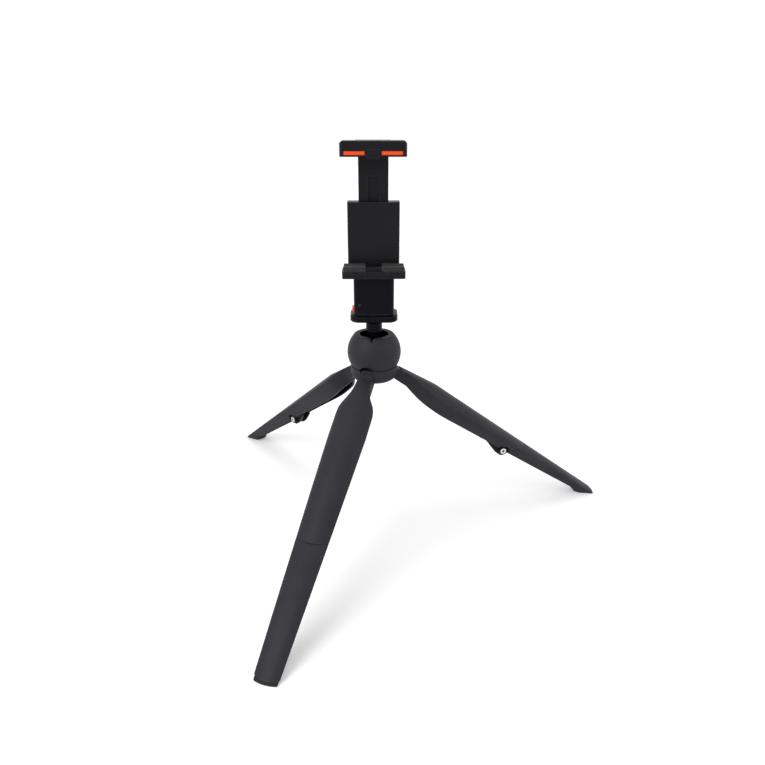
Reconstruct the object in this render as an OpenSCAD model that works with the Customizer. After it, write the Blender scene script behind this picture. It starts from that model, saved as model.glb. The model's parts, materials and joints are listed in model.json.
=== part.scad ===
// Table tripod with a ball head and a phone clamp.
// Origin: on the ground under the hub axis. The clamp faces -Y. Millimetres.

/* [Legs] */
// Length of a leg, from its hub hinge to the tip of the toe
leg_len = 232; // [215:0.5:250]
// Angle of an open leg below level
leg_lean = 37; // [34:1:42]
// Compass angle of the front leg, seen from above
front_azimuth = -109.6; // [-125:0.1:-90]
// Radius of the round grip that the closed legs form
grip_r = 21.7; // [21:0.1:23]
// Wall of the leg channels
leg_wall = 1.8; // [1.2:0.1:2.4]
// Inward slant of the side walls
wall_slant = 31; // [28:1:34]
// Half width of the neck
neck_half = 5.3; // [4.6:0.1:5.8]
// Half width of the leg at its shoulder
shoulder_half = 14.7; // [12.5:0.1:15]
// Half width of the leg at the toe
toe_half = 8.7; // [8:0.1:10]
// Where the neck starts to flare, from the hub hinge
neck_u = 14; // [10:0.5:16]
// Where the shoulder is widest, from the hub hinge
shoulder_u = 41; // [38:1:50]
// Where the leg begins to taper, from the hub hinge
taper_u = 58; // [50:1:95]
// Radius of the toe, seen from above
toe_bend = 25; // [14:0.5:30]
// Thickness of the rubber sole
sole_t = 2.6; // [1.6:0.1:3.4]

/* [Knee] */
// Distance from the hub hinge to the knee pin
knee_u = 128; // [120:1:134]
// Height of the knee pin above the line through the hub hinge, negative on the inner side
knee_v = -4.9; // [-5.4:0.1:-4.4]
// Angle of the seam between upper and lower leg
seam_lean = 46.8; // [42:0.2:52]
// Gap of that seam
seam_gap = 0.4; // [0.3:0.05:0.6]
// Radius of the knee pin
knee_pin_r = 1.5; // [1.2:0.05:1.7]
// Radius of the bright head of the knee pin
knee_head_r = 2.75; // [2.4:0.05:3]
// Radius of the bosses round the knee pin
boss_r = 5; // [4.6:0.1:5.2]

/* [Hub] */
// Distance from the hub axis to a leg hinge
pivot_r = 12; // [11.6:0.1:12.6]
// Radius of the ball-shaped housing
hub_r = 21; // [20.5:0.1:22]
// Height of the housing's centre above the leg hinges
hub_rise = 15.4; // [15:0.1:16]
// Height of the flat top of the housing above its centre
hub_top = 14.45; // [14:0.05:15]
// Radius of the leg carrier under the housing
carrier_r = 18.4; // [18:0.1:19]
// Depth of the carrier below the leg hinges
carrier_drop = 7; // [6:0.1:7.5]
// Radius of the leg hinge pins
hinge_pin_r = 1.5; // [1.2:0.05:1.8]

/* [Ball head] */
// Radius of the ball
ball_r = 13; // [12.6:0.1:13.4]
// Height of the ball's centre above the housing's centre
ball_rise = 2.35; // [2.2:0.05:2.8]
// Radius of the neck under the plate
neck_r = 6.25; // [5.5:0.05:6.5]
// Height of the underside of the plate above the ball's centre
neck_rise = 24.2; // [23:0.1:27]
// Width of the plate
plate_w = 36; // [34:0.1:40]
// Depth of the plate
plate_d = 27; // [25:0.5:31]
// Thickness of the plate
plate_t = 5.5; // [5:0.1:7]
// Radius of the mounting screw
stud_r = 3.175; // [3:0.025:3.2]

/* [Clamp] */
// Width of the foot block
foot_w = 30.2; // [29.6:0.1:31]
// Distance from the stem axis to the front of the foot block
foot_front = 12; // [11:0.1:13]
// Distance from the stem axis to the back of the foot block
foot_back = 10; // [9.5:0.1:12]
// Height of the foot block
foot_h = 28.9; // [27:0.1:32]
// Width of the jaws
jaw_w = 46.4; // [44:0.1:56]
// Distance from the stem axis to the front of the jaws
jaw_front = 19; // [18:0.1:22]
// Height of the lower jaw without its pads
low_jaw_h = 5.2; // [4.6:0.1:8]
// Height of the upper jaw
top_jaw_h = 10.3; // [9.5:0.1:12]
// Thickness of the jaw pads
pad_t = 3.7; // [3.2:0.1:4.4]
// Gap between the pads in the rest pose
opening = 75.6; // [70:0.2:80]
// Smallest gap between the pads
opening_min = 57; // [56:0.5:62]
// Largest gap between the pads
opening_max = 92; // [86:0.5:94]
// Width of the back sleeve
sleeve_w = 38; // [37:0.5:40]
// Distance from the stem axis to the front and back faces of the sleeve
sleeve_half = 5.5; // [5.3:0.1:7]
// Width of the slide bar
bar_w = 21.6; // [20:0.1:22]
// Thickness of the slide bar
bar_t = 4.4; // [4:0.1:4.8]
// Pitch of the rack on the slide bar
rack_pitch = 2; // [1.6:0.1:3]

/* [Hidden] */
$fn = 64;

// Finishes
charcoal = [0.22, 0.21, 0.24];
black = [0.07, 0.07, 0.09];
orange = [0.93, 0.32, 0.09];
steel = [0.78, 0.79, 0.80];
rubber = [0.12, 0.12, 0.13];
brass = [0.72, 0.60, 0.34];

// Fits
run = 0.05;
loose = 0.3;
over = 1;
far = 60;

// Leg frame: u runs from the hub hinge to the toe, v points outward from the closed grip
leg_turn = 120;
azimuths = [front_azimuth, front_azimuth + leg_turn, front_azimuth - leg_turn];
ridge_v = grip_r - pivot_r;
crease_v = sqrt(grip_r * grip_r - shoulder_half * shoulder_half) - pivot_r;
toe_drop = 1.4;
toe_v = ridge_v - toe_drop;
toe_nose = 4.7;
pivot_z = leg_len * sin(leg_lean) - toe_v * cos(leg_lean);
knuckle_r = 5.2;
stop_flat = 5.15;
stop_rise = 2.2;
neck_top = 4.7;
neck_low = 3.7;
neck_end = 19;
mouth_u = 8;
cavity_u = 17;
belly_u = 56;
belly_v = -8.5;
belly_drop = 4.2;
belly_run = 36;
belly_end = 70;
belly_lap = 4;
neck_start = 6;
ridge_end = 45;
ridge_slope = 6.5;
crown_r = 26;
bracket_gap = 16;
bracket_dip = 0.2;
bracket_u = knee_u - bracket_gap;
bracket_v = knee_v - bracket_dip;
shin_rise = 0.2;
shin_edge_v = knee_v + shin_rise;
heel_inset = 18.6;
heel_v = 1.3;
heel_len = 18.3;
heel_rise = 2;
sole_len = 12.6;
shin_solid = 30;
rib_t = 1.2;
rib_low = 1;
rib_start = 36;
rib_pitch = 20;
rib_margin = 30;
upper_ribs = [for (u = [rib_start : rib_pitch : knee_u - rib_margin]) u];
shin_rib_start = 28;
shin_rib_pitch = 24;
shin_rib_margin = 12;
shin_ribs = [for (u = [knee_u + shin_rib_start : shin_rib_pitch : leg_len - shin_solid - shin_rib_margin]) u];

// Knee
knee_clear = 0.5;
tongue_half = 2.3;
tongue_r = 3.6;
web_w = 7;
web_rise = 8;
web_len = 20;
cheek_in = 2.5;
cheek_out = 4.1;
boss_out = 4.6;
well_half = 4.6;
well_r = 13;
head_t = 0.35;
head_dimple_r = 1;
head_dimple_t = 0.2;
bracket_len = 16;
bracket_floor = 3.4;
bracket_floor_t = 2;
bracket_step = 1.5;
bracket_low = 5.2;
bulkhead = 2;

// Hub heights
hub_z = pivot_z + hub_rise;
hub_top_z = hub_z + hub_top;
ball_z = hub_z + ball_rise;
carrier_z = pivot_z - carrier_drop;
seam_rise = 4.4;
seam_z = pivot_z + seam_rise;
seam_line = 0.35;
spigot_r = 14;
spigot_rise = 8.7;
spigot_top = pivot_z + spigot_rise;
lip_rise = 7.7;
lip_z = ball_z + lip_rise;
lip_r = sqrt((ball_r + run) * (ball_r + run) - lip_rise * lip_rise);
mouth_r = 11.2;
slot_half = neck_half + loose;
slot_spring = 5.4;
slot_rise = 2.65;
notch_azimuth = -97;
notch_w = 3.2;
center_boss_r = 6.75;
center_boss_rise = 2.7;
center_boss_z = pivot_z + center_boss_rise;
cup_r = 6.7;
cup_gap = 0.15;
spring_hole_r = 4.3;
screw_head_t = 3.2;
screw_recess = 0.9;
hex_r = 2.4;
disc_r = 4.1;
disc_hole_r = 2;
disc_count = 3;
cup_spigot_r = 1.8;
hinge_pin_half = 9.6;
carrier_low_r = 12.6;
carrier_bend_r = 5.8;

// Ball head heights
plate_z = ball_z + neck_rise;
plate_top = plate_z + plate_t;
head_pad_t = 0.8;
waist_r = 4.8;
waist_z = 11.2;
collar_z = 15;
flare = 2.6;
plate_round = 7;
plate_edge = 2.2;
stud_up = 8;
stud_down = 5;

// Clamp heights
foot_z = plate_top + head_pad_t + cup_gap;
foot_top = foot_z + foot_h;
low_jaw_top = foot_top + low_jaw_h;
pad_top = low_jaw_top + pad_t;
grip_z = pad_top + opening;
top_jaw_top = grip_z + top_jaw_h;
foot_round = 3.5;
jaw_round = 2.4;
slide_fit = 0.15;
insert_r = 4.8;
insert_h = 8;
bar_dip = 7;
bar_low = pad_top - bar_dip;
well_spare = 3;
bar_well_z = bar_low - (opening - opening_min) - well_spare;
sleeve_spare = 13;
sleeve_top = pad_top + opening_min - sleeve_spare;
cover_t = 2.5;
lever_t = 1.1;
lever_gap = 0.7;
lever_half = 1.9;
lever_room = 1.7;
lever_dip = 3;
lever_pivot_z = foot_top - lever_dip;
lever_pivot_r = 0.8;
button_rise = 2.7;
button_z = foot_z + button_rise;
button_h = 3;
button_half = 4;
button_y = -3.5;
button_out = 1.3;
spring_z = button_z + button_h;
spring_start = 1.9;
spring_end = 4.6;
pawl_rise = 3.5;
pawl_z = bar_low + (opening_max - opening) + pawl_rise;
pawl_h = 1.2;
pawl_reach = 0.45;
lever_rise = 2.5;
lever_top = pawl_z + lever_rise;
gap_half = 5.9;
cheek_w = 2.7;
lip_t = 1;
lip_d = 1.4;
rib_top_half = 5.25;
rib_low_half = 4.2;
rib_drop = 1.5;
rib_d = 1.9;
groove_r = 0.5;
screw_r = 1.1;
screw_cap_r = 1.9;

// Half width at the crease height of the shoulder, for a leg this wide at its own crease
function at_crease(w) =
    w - (sqrt(grip_r * grip_r - w * w) - pivot_r - crease_v) * tan(wall_slant);

module on_leg(i) {
    rotate([0, 0, azimuths[i]]) translate([pivot_r, 0, pivot_z]) rotate([0, leg_lean, 0]) children();
}

// A solid with this outline in the u-v plane, from side to side
module side_cut(half = far) {
    rotate([90, 0, 0]) translate([0, 0, -half]) linear_extrude(2 * half) children();
}

// A round bar across the leg
module across(u, v, r, half) {
    translate([u, 0, v]) rotate([90, 0, 0]) translate([0, 0, -half]) cylinder(r = r, h = 2 * half);
}

// Everything on the inner side of one slanted wall: an S-shaped shoulder and a straight taper
module wall_plan(inset) {
    squeeze = cos(wall_slant);
    neck = neck_half * squeeze - inset;
    shoulder = shoulder_half * squeeze - inset;
    toe = at_crease(toe_half) * squeeze - inset;
    du = (shoulder_u - neck_u) / 2;
    dw = (shoulder - neck) / 2;
    bend = (du * du + dw * dw) / (2 * dw);
    polygon([[shoulder_u, -far], [shoulder_u, shoulder], [taper_u, shoulder],
        [leg_len, toe], [leg_len + far, toe], [leg_len + far, -far]]);
    intersection() {
        translate([shoulder_u, shoulder - bend]) circle(bend);
        translate([neck_u + du, -far]) square([du, 2 * far]);
    }
    translate([neck_u + du, -far]) square([du, far]);
    translate([-far, -far]) square([far + neck_u, far + neck]);
    difference() {
        translate([neck_u, -far]) square([du, far + neck + dw]);
        translate([neck_u, neck + bend]) circle(bend);
    }
}

module wall_prism(inset) {
    translate([0, 0, crease_v]) rotate([-wall_slant, 0, 0]) translate([0, 0, -far])
        linear_extrude(2 * far) wall_plan(inset);
}

// The petal-shaped bar that both leg halves are cut from
module petal(inset = 0) {
    intersection() {
        translate([0, 0, -pivot_r]) rotate([0, 90, 0]) cylinder(r = grip_r - inset, h = leg_len + over, $fn = 128);
        wall_prism(inset);
        mirror([0, 1, 0]) wall_prism(inset);
    }
}

// Everything under the ridge, which slopes down to a flatter neck
module crown(inset = 0) {
    intersection() {
        translate([ridge_end, 0, ridge_v + run - crown_r]) rotate([0, 90 - ridge_slope, 0])
            translate([0, 0, -far]) cylinder(r = crown_r - inset, h = 2 * far, $fn = 128);
        translate([-far, -far, -far]) cube([far + ridge_end + over, 2 * far, 2 * far]);
    }
    translate([ridge_end, -far, -far]) cube([leg_len, 2 * far, 2 * far]);
}

// A point on the seam line, this far from the knee pin
function seam_point(along, off) =
    [knee_u + along * cos(seam_lean) + off * sin(seam_lean), knee_v + along * sin(seam_lean) - off * cos(seam_lean)];

module upper_outline() {
    bend = (belly_run * belly_run + belly_drop * belly_drop) / (2 * belly_drop);
    belly_end_v = belly_v + bend - sqrt(bend * bend - (belly_end - belly_u) * (belly_end - belly_u));
    slope = (bracket_v - belly_end_v) / (bracket_u - belly_end);
    intersection() {
        translate([belly_u, belly_v + bend]) circle(bend, $fn = 256);
        translate([mouth_u, -far]) square([belly_end + belly_lap - mouth_u, 2 * far]);
    }
    polygon([[belly_end - belly_lap, belly_end_v - belly_lap * slope], [bracket_u, bracket_v], [knee_u, knee_v],
        seam_point(web_len * 2, 0), [belly_end - belly_lap, far]]);
}

module upper_cavity() {
    polygon([[cavity_u, -far], seam_point(-far, -bulkhead), seam_point(far, -bulkhead), [cavity_u, far]]);
}

module knuckle_outline() {
    circle(knuckle_r);
    rotate(leg_lean) translate([-stop_flat, 0]) square([stop_flat - over, stop_rise]);
    polygon([[0, knuckle_r - loose], [neck_start, neck_top], [neck_end, neck_top],
        [neck_end, -neck_low], [0, -neck_low]]);
}

// Upper half of a leg: a channel with a knuckle at the hub and cheeks cut clear for the knee
module upper_leg(i) {
    color(charcoal) on_leg(i) difference() {
        union() {
            difference() {
                intersection() {
                    petal();
                    crown();
                    side_cut() upper_outline();
                }
                intersection() {
                    petal(leg_wall);
                    crown(leg_wall);
                    side_cut() upper_cavity();
                }
            }
            side_cut(neck_half) knuckle_outline();
            intersection() {
                crown(leg_wall / 2);
                for (u = upper_ribs) cross_rib(u, rib_low);
            }
        }
        across(0, 0, hinge_pin_r + run, far);
        across(knee_u, knee_v, boss_r + loose, far);
        translate([knee_u - bracket_len - slide_fit, -cheek_out - slide_fit, knee_v + bracket_floor - far])
            cube([bracket_len, 2 * (cheek_out + slide_fit), far]);
    }
}

// A thin web across the channel, short of its open side
module cross_rib(u, low) {
    intersection() {
        petal(leg_wall / 2);
        translate([u, -far, low]) cube([rib_t, 2 * far, far]);
    }
}

// Black hinge fork that carries the knee pin inside the upper leg
module knee_bracket(i) {
    start = knee_u - bracket_len;
    color(black) on_leg(i) difference() {
        union() {
            for (side = [0, 1]) mirror([0, side, 0]) {
                translate([0, cheek_out, 0]) rotate([90, 0, 0]) linear_extrude(cheek_out - cheek_in)
                    bracket_outline(start);
                translate([0, boss_out, 0]) translate([knee_u, 0, knee_v]) rotate([90, 0, 0])
                    cylinder(r = boss_r, h = boss_out - cheek_in);
            }
            intersection() {
                petal(leg_wall + slide_fit);
                translate([start, -far, knee_v + bracket_floor])
                    cube([bracket_len - boss_r + over / 2, 2 * far, bracket_floor_t]);
            }
        }
        across(knee_u, knee_v, knee_pin_r + run / 5, far);
    }
}

module bracket_outline(start) {
    roof = knee_v + bracket_floor + bracket_floor_t;
    polygon([[start, roof], [start, knee_v + bracket_step],
        [start + bracket_step, knee_v - bracket_step], [start + 2 * bracket_step, knee_v - 2 * bracket_step + over / 2],
        [knee_u - boss_r + over, knee_v - bracket_low + over / 5],
        [knee_u, knee_v - boss_r + over / 10], [knee_u, roof]]);
}

module knee_pin(i) {
    half = boss_out + head_t;
    color(steel) on_leg(i) difference() {
        union() {
            across(knee_u, knee_v, knee_pin_r, half);
            for (side = [0, 1]) mirror([0, side, 0])
                translate([knee_u, half, knee_v]) rotate([90, 0, 0]) cylinder(r = knee_head_r, h = head_t);
        }
        for (side = [0, 1]) mirror([0, side, 0])
            translate([knee_u, half + over, knee_v]) rotate([90, 0, 0])
                cylinder(r = head_dimple_r, h = head_dimple_t + over);
    }
}

// A point this far back from the tip of the toe along the ground, and this high above it
function sole_point(back, up) = [leg_len - back * cos(leg_lean) - up * sin(leg_lean),
    toe_v - back * sin(leg_lean) + up * cos(leg_lean)];

// Outline of the lower leg down to the ground, with the heel behind the sole and the round nose
module shin_outline() {
    start = seam_point(0, seam_gap);
    nose_r = (toe_nose * toe_nose + toe_drop * toe_drop) / (2 * toe_drop);
    intersection() {
        polygon([[start[0] + seam_gap, shin_edge_v], [leg_len - heel_inset, heel_v], sole_point(heel_len, heel_rise),
            sole_point(sole_len, 0), [leg_len, toe_v], [leg_len, far], seam_point(web_len * 2, seam_gap)]);
        union() {
            translate([leg_len - toe_nose, ridge_v + run - nose_r]) circle(nose_r);
            translate([-far, -far]) square([leg_len - toe_nose + far, 2 * far]);
        }
    }
}

// The round toe, upright over the ground
module toe_round(grow) {
    translate([leg_len, 0, toe_v]) rotate([0, -leg_lean, 0]) translate([-toe_bend, 0, -far]) {
        cylinder(r = toe_bend + grow, h = far + leg_len, $fn = 96);
        translate([-2 * leg_len, -far, 0]) cube([2 * leg_len, 2 * far, far + leg_len]);
    }
}

module foot_block(inset = 0) {
    intersection() {
        petal(inset);
        side_cut() shin_outline();
        toe_round(-inset);
    }
}

// Everything up to this height above the ground
module ground_slab(h) {
    translate([leg_len, 0, toe_v]) rotate([0, -leg_lean, 0])
        translate([-leg_len, -far, -over]) cube([2 * leg_len, 2 * far, h + over]);
}

// Lower half of a leg: a channel with a solid foot and a tongue that turns on the knee pin
module lower_leg(i) {
    color(charcoal) on_leg(i) difference() {
        union() {
            difference() {
                foot_block();
                intersection() {
                    petal(leg_wall);
                    side_cut() polygon([seam_point(-far, seam_gap + bulkhead), [leg_len - shin_solid, -far],
                        [leg_len - shin_solid, far], seam_point(far, seam_gap + bulkhead)]);
                }
                across(knee_u, knee_v, boss_r + knee_clear, far);
                across(knee_u, knee_v, well_r, well_half);
                ground_slab(sole_t);
            }
            for (u = shin_ribs) cross_rib(u, rib_low);
            intersection() {
                petal(leg_wall / 2);
                side_cut(tongue_half) polygon([seam_point(0, seam_gap), seam_point(0, tongue_r),
                    seam_point(web_rise, web_w), seam_point(web_len, web_w), seam_point(web_len, seam_gap)]);
            }
            across(knee_u, knee_v, tongue_r, tongue_half);
        }
        across(knee_u, knee_v, knee_pin_r + run, far);
    }
}

// Black rubber sole, cut flat on the ground
module foot_pad(i) {
    color(rubber) on_leg(i) difference() {
        intersection() {
            foot_block(loose);
            ground_slab(sole_t);
        }
        translate([leg_len, 0, toe_v]) rotate([0, -leg_lean, 0])
            translate([-leg_len, -far, -far]) cube([2 * leg_len, 2 * far, far]);
    }
}

// Radial slots for the legs, with an arched top
module leg_slot() {
    arch = (slot_half * slot_half + slot_rise * slot_rise) / (2 * slot_rise);
    for (a = azimuths) rotate([0, 0, a]) translate([0, 0, pivot_z]) rotate([90, 0, 90]) linear_extrude(far)
        intersection() {
            translate([-slot_half, -2 * carrier_drop]) square([2 * slot_half, far]);
            union() {
                translate([0, slot_spring + slot_rise - arch]) circle(arch);
                translate([-far, -far]) square([2 * far, far + slot_spring + slot_rise - arch]);
            }
        }
}

// Ball-shaped shell that holds the ball from above
module hub_housing() {
    color(charcoal) difference() {
        intersection() {
            translate([0, 0, hub_z]) sphere(hub_r, $fn = 128);
            translate([0, 0, seam_z + seam_line]) cylinder(r = hub_r + over, h = hub_top_z - seam_z - seam_line);
        }
        translate([0, 0, ball_z]) sphere(ball_r + run);
        translate([0, 0, spigot_top]) cylinder(r = ball_r + run, h = ball_z - spigot_top);
        translate([0, 0, seam_z - over]) cylinder(r = spigot_r + run, h = spigot_top - seam_z + over + run);
        translate([0, 0, lip_z]) cylinder(r1 = lip_r, r2 = mouth_r, h = hub_top_z - lip_z);
        translate([0, 0, hub_top_z - over / 10]) cylinder(r = mouth_r, h = over);
        leg_slot();
        rotate([0, 0, notch_azimuth]) translate([mouth_r - over, 0, hub_top_z])
            rotate([45, 0, 0]) translate([0, -notch_w / 2, -notch_w / 2]) cube([far, notch_w, notch_w]);
    }
}

// Crown with three slots that carries the leg hinges, screwed into the housing
module leg_carrier() {
    low = carrier_z + carrier_bend_r;
    color(charcoal) difference() {
        union() {
            intersection() {
                translate([0, 0, carrier_z]) cylinder(r = carrier_r, h = seam_z - carrier_z);
                union() {
                    translate([0, 0, low]) cylinder(r = carrier_r, h = far);
                    translate([0, 0, low]) rotate_extrude($fn = 96) translate([carrier_low_r, 0]) circle(carrier_bend_r);
                    translate([0, 0, carrier_z]) cylinder(r = carrier_low_r, h = far);
                }
            }
            translate([0, 0, seam_z - over]) cylinder(r = spigot_r, h = spigot_top - seam_z + over);
        }
        difference() {
            leg_slot();
            cylinder(r = center_boss_r, h = far * 4);
        }
        translate([0, 0, center_boss_z]) cylinder(r = spigot_r - leg_wall, h = far);
        translate([0, 0, carrier_z - over]) cylinder(r = spring_hole_r, h = far);
        for (a = azimuths) rotate([0, 0, a]) translate([pivot_r, 0, pivot_z]) rotate([90, 0, 0])
            translate([0, 0, -hinge_pin_half]) cylinder(r = hinge_pin_r + run / 5, h = 2 * hinge_pin_half);
    }
}

module hinge_pins() {
    color(steel) for (a = azimuths) rotate([0, 0, a]) translate([pivot_r, 0, pivot_z]) rotate([90, 0, 0])
        translate([0, 0, run - hinge_pin_half]) cylinder(r = hinge_pin_r, h = 2 * (hinge_pin_half - run));
}

// Sets the friction of the ball from below
module tension_screw() {
    color(steel) translate([0, 0, carrier_z + screw_recess]) difference() {
        cylinder(r = spring_hole_r - run, h = screw_head_t);
        translate([0, 0, -over]) cylinder(r = hex_r, h = screw_head_t / 2 + over, $fn = 6);
    }
}

module disc_springs() {
    low = carrier_z + screw_recess + screw_head_t + run;
    each_h = (center_boss_z - low - run) / disc_count;
    color(steel) for (k = [0 : disc_count - 1]) translate([0, 0, low + k * each_h])
        mirror([0, 0, k % 2]) translate([0, 0, -(k % 2) * (each_h - run)]) rotate_extrude()
            polygon([[disc_hole_r, each_h / 2], [disc_r, 0], [disc_r, each_h / 2 - run], [disc_hole_r, each_h - run]]);
}

// Dished seat under the ball
module ball_cup() {
    color(black) difference() {
        union() {
            translate([0, 0, center_boss_z + cup_gap]) cylinder(r = cup_r, h = ball_z - ball_r - center_boss_z + cup_r / 2);
            translate([0, 0, carrier_z + screw_recess + screw_head_t + cup_gap])
                cylinder(r = cup_spigot_r, h = center_boss_z - carrier_z - screw_recess - screw_head_t);
        }
        translate([0, 0, ball_z]) sphere(ball_r + run);
        translate([0, 0, ball_z - ball_r + cup_r / 4]) cylinder(r = far, h = far);
    }
}

// Ball and neck, turned in one piece, with a thread socket in the top
module ball_stem() {
    color(black) difference() {
        union() {
            translate([0, 0, ball_z]) sphere(ball_r);
            translate([0, 0, ball_z]) rotate_extrude() polygon([[0, 0], [waist_r, waist_z],
                [neck_r, collar_z], [neck_r, neck_rise - flare], [neck_r + flare, neck_rise], [0, neck_rise]]);
        }
        translate([0, 0, plate_z - stud_down]) cylinder(r = stud_r + run, h = far);
    }
}

module round_slab(w, front, back, r, h) {
    hull() for (x = [r - w / 2, w / 2 - r], y = [r - front, back - r]) translate([x, y, 0]) cylinder(r = r, h = h);
}

// Soft-edged plate that the clamp stands on
module head_plate() {
    w = plate_w / 2 - plate_edge;
    d = plate_d / 2 - plate_edge;
    r = plate_round - plate_edge;
    color(black) difference() {
        translate([0, 0, plate_z]) intersection() {
            plate_body(w, d, r);
            cylinder(r = plate_w, h = plate_t);
        }
        translate([0, 0, plate_z - over]) cylinder(r = stud_r + run, h = plate_t + 2 * over);
    }
}

// Rounded edge all round: bars between four corner balls, filled by crossing boxes
module plate_body(w, d, r) {
    mid = plate_t / 2;
    e = plate_t / 2;
    for (x = [r - w, w - r], y = [r - d, d - r]) translate([x, y, mid]) {
        rotate_extrude() translate([r, 0]) edge_half(e);
        translate([0, 0, -e]) cylinder(r = r, h = 2 * e);
    }
    for (x = [-w, w]) translate([x, 0, mid]) rotate([90, 0, 0]) translate([0, 0, r - d])
        linear_extrude(2 * (d - r)) edge_bar(e);
    for (y = [-d, d]) translate([0, y, mid]) rotate([90, 0, 90]) translate([0, 0, r - w])
        linear_extrude(2 * (w - r)) edge_bar(e);
    translate([-w, r - d, 0]) cube([2 * w, 2 * (d - r), plate_t]);
    translate([r - w, -d, 0]) cube([2 * (w - r), 2 * d, plate_t]);
}

module edge_bar(e) {
    intersection() {
        circle(e);
        square([2 * plate_edge, 2 * e], center = true);
    }
}

module edge_half(e) {
    intersection() {
        edge_bar(e);
        translate([0, -e]) square([2 * e, 2 * e]);
    }
}

module plate_pad() {
    color(rubber) translate([0, 0, plate_top]) difference() {
        round_slab(foot_w - 3 * head_pad_t, foot_front - head_pad_t, foot_back - head_pad_t, foot_round, head_pad_t);
        translate([0, 0, -over]) cylinder(r = stud_r + run, h = head_pad_t + 2 * over);
    }
}

module mount_stud() {
    color(steel) translate([0, 0, plate_z - stud_down + run])
        cylinder(r = stud_r, h = stud_down + plate_t + head_pad_t + stud_up);
}

// Foot block of the clamp, with the well for the slide bar and room for the release lever
module clamp_foot() {
    color(black) difference() {
        translate([0, 0, foot_z]) round_slab(foot_w, foot_front, foot_back, foot_round, foot_h);
        translate([0, 0, foot_z - over]) cylinder(r = insert_r + run / 5, h = insert_h + over);
        bar_well(bar_well_z, foot_top + over);
        lever_well(foot_z + over, foot_top + over);
        button_window();
        translate([lever_x(), 0, spring_z]) rotate([0, 90, 0]) cylinder(r = lever_half, h = spring_end);
        translate([lever_x(), 0, lever_pivot_z]) rotate([90, 0, 0])
            translate([0, 0, -lever_half - 2 * over]) cylinder(r = lever_pivot_r + run / 5, h = 2 * (lever_half + 2 * over));
        dot_socket();
    }
}

function lever_x() = -bar_w / 2 - lever_gap - lever_t / 2;

module bar_well(low, high) {
    translate([-bar_w / 2 - slide_fit, -bar_t / 2 - slide_fit, low])
        cube([bar_w + 2 * slide_fit, bar_t + 2 * slide_fit, high - low]);
}

module lever_well(low, high) {
    translate([lever_x() - lever_t / 2 - lever_room, -lever_half - loose, low])
        cube([lever_t + 2 * lever_room + lever_gap, 2 * (lever_half + loose), high - low]);
}

module button_window() {
    translate([-foot_w, button_y - button_half - loose, button_z - button_h / 2 - loose])
        cube([foot_w + lever_x() + lever_room, 2 * (button_half + loose), button_h + 2 * loose]);
}

module dot_socket() {
    translate([dot_x(), -foot_front + lip_t, dot_z()]) rotate([90, 0, 0]) cylinder(r = groove_r * 2, h = 2 * lip_t);
}

function dot_x() = -foot_w / 2 + foot_round + over;
function dot_z() = foot_z + foot_h / 4;

module lock_dot() {
    color(orange) translate([dot_x(), -foot_front + lip_t, dot_z()]) rotate([90, 0, 0])
        cylinder(r = groove_r * 2 - run / 5, h = lip_t);
}

module foot_insert() {
    color(brass) translate([0, 0, foot_z]) difference() {
        cylinder(r = insert_r, h = insert_h);
        translate([0, 0, -over]) cylinder(r = stud_r + run, h = insert_h + 2 * over);
    }
}

// Rocker that lifts the pawl off the rack when its orange button is pressed
module release_lever() {
    x = lever_x();
    color(orange) difference() {
        union() {
            translate([x - lever_t / 2, -lever_half, button_z - button_h / 2])
                cube([lever_t, 2 * lever_half, lever_top - button_z + button_h / 2]);
            translate([-foot_w / 2 - button_out, button_y - button_half, button_z - button_h / 2])
                cube([x + foot_w / 2 + button_out - lever_t / 2 + over / 2, 2 * button_half, button_h]);
            translate([x, 0, pawl_z]) rotate([90, 0, 0]) translate([0, 0, -lever_half])
                linear_extrude(2 * lever_half) polygon([[0, -pawl_h], [lever_t / 2, -pawl_h],
                    [lever_t / 2 + pawl_reach, 0], [lever_t / 2, pawl_h], [0, pawl_h]]);
            translate([x, lever_half, lever_pivot_z]) rotate([90, 0, 0])
                cylinder(r = lever_t, h = 2 * lever_half);
        }
        translate([x, 0, lever_pivot_z]) rotate([90, 0, 0]) translate([0, 0, -far])
            cylinder(r = lever_pivot_r + run, h = 2 * far);
    }
}

module lever_pin() {
    color(steel) translate([lever_x(), 0, lever_pivot_z]) rotate([90, 0, 0])
        translate([0, 0, -lever_half - 2 * over + run]) cylinder(r = lever_pivot_r, h = 2 * (lever_half + 2 * over - run));
}

// Return spring in its pocket, at its pressed length
module lever_spring() {
    color(steel) translate([lever_x() + spring_start, 0, spring_z]) rotate([0, 90, 0]) difference() {
        cylinder(r = lever_half - run, h = spring_end - spring_start);
        translate([0, 0, -over]) cylinder(r = lever_half / 2, h = spring_end + 2 * over);
    }
}

// Rounded bar along X, the plan of both jaws
module jaw_slab(low, h, back) {
    translate([0, 0, low]) round_slab(jaw_w, jaw_front, back, jaw_round, h);
}

module lower_jaw() {
    color(black) difference() {
        union() {
            jaw_slab(foot_top, low_jaw_h, -sleeve_half + jaw_round);
            translate([0, 0, foot_top]) round_slab(sleeve_w, sleeve_half + jaw_round, sleeve_half, jaw_round, low_jaw_h);
            translate([-gap_half + slide_fit, -jaw_front + lip_d, low_jaw_top - over])
                cube([2 * (gap_half - slide_fit), jaw_front - sleeve_half - lip_d - slide_fit, pad_t - over / 2 + over]);
        }
        bar_well(foot_top - over, low_jaw_top + over);
        lever_well(foot_top - over, low_jaw_top + over);
        for (x = [-1, 1]) translate([0, -jaw_front, low_jaw_top - lip_t]) rotate([0, 90, 0])
            translate([0, 0, x > 0 ? gap_half : -jaw_w]) cylinder(r = groove_r, h = jaw_w - gap_half);
    }
}

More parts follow.
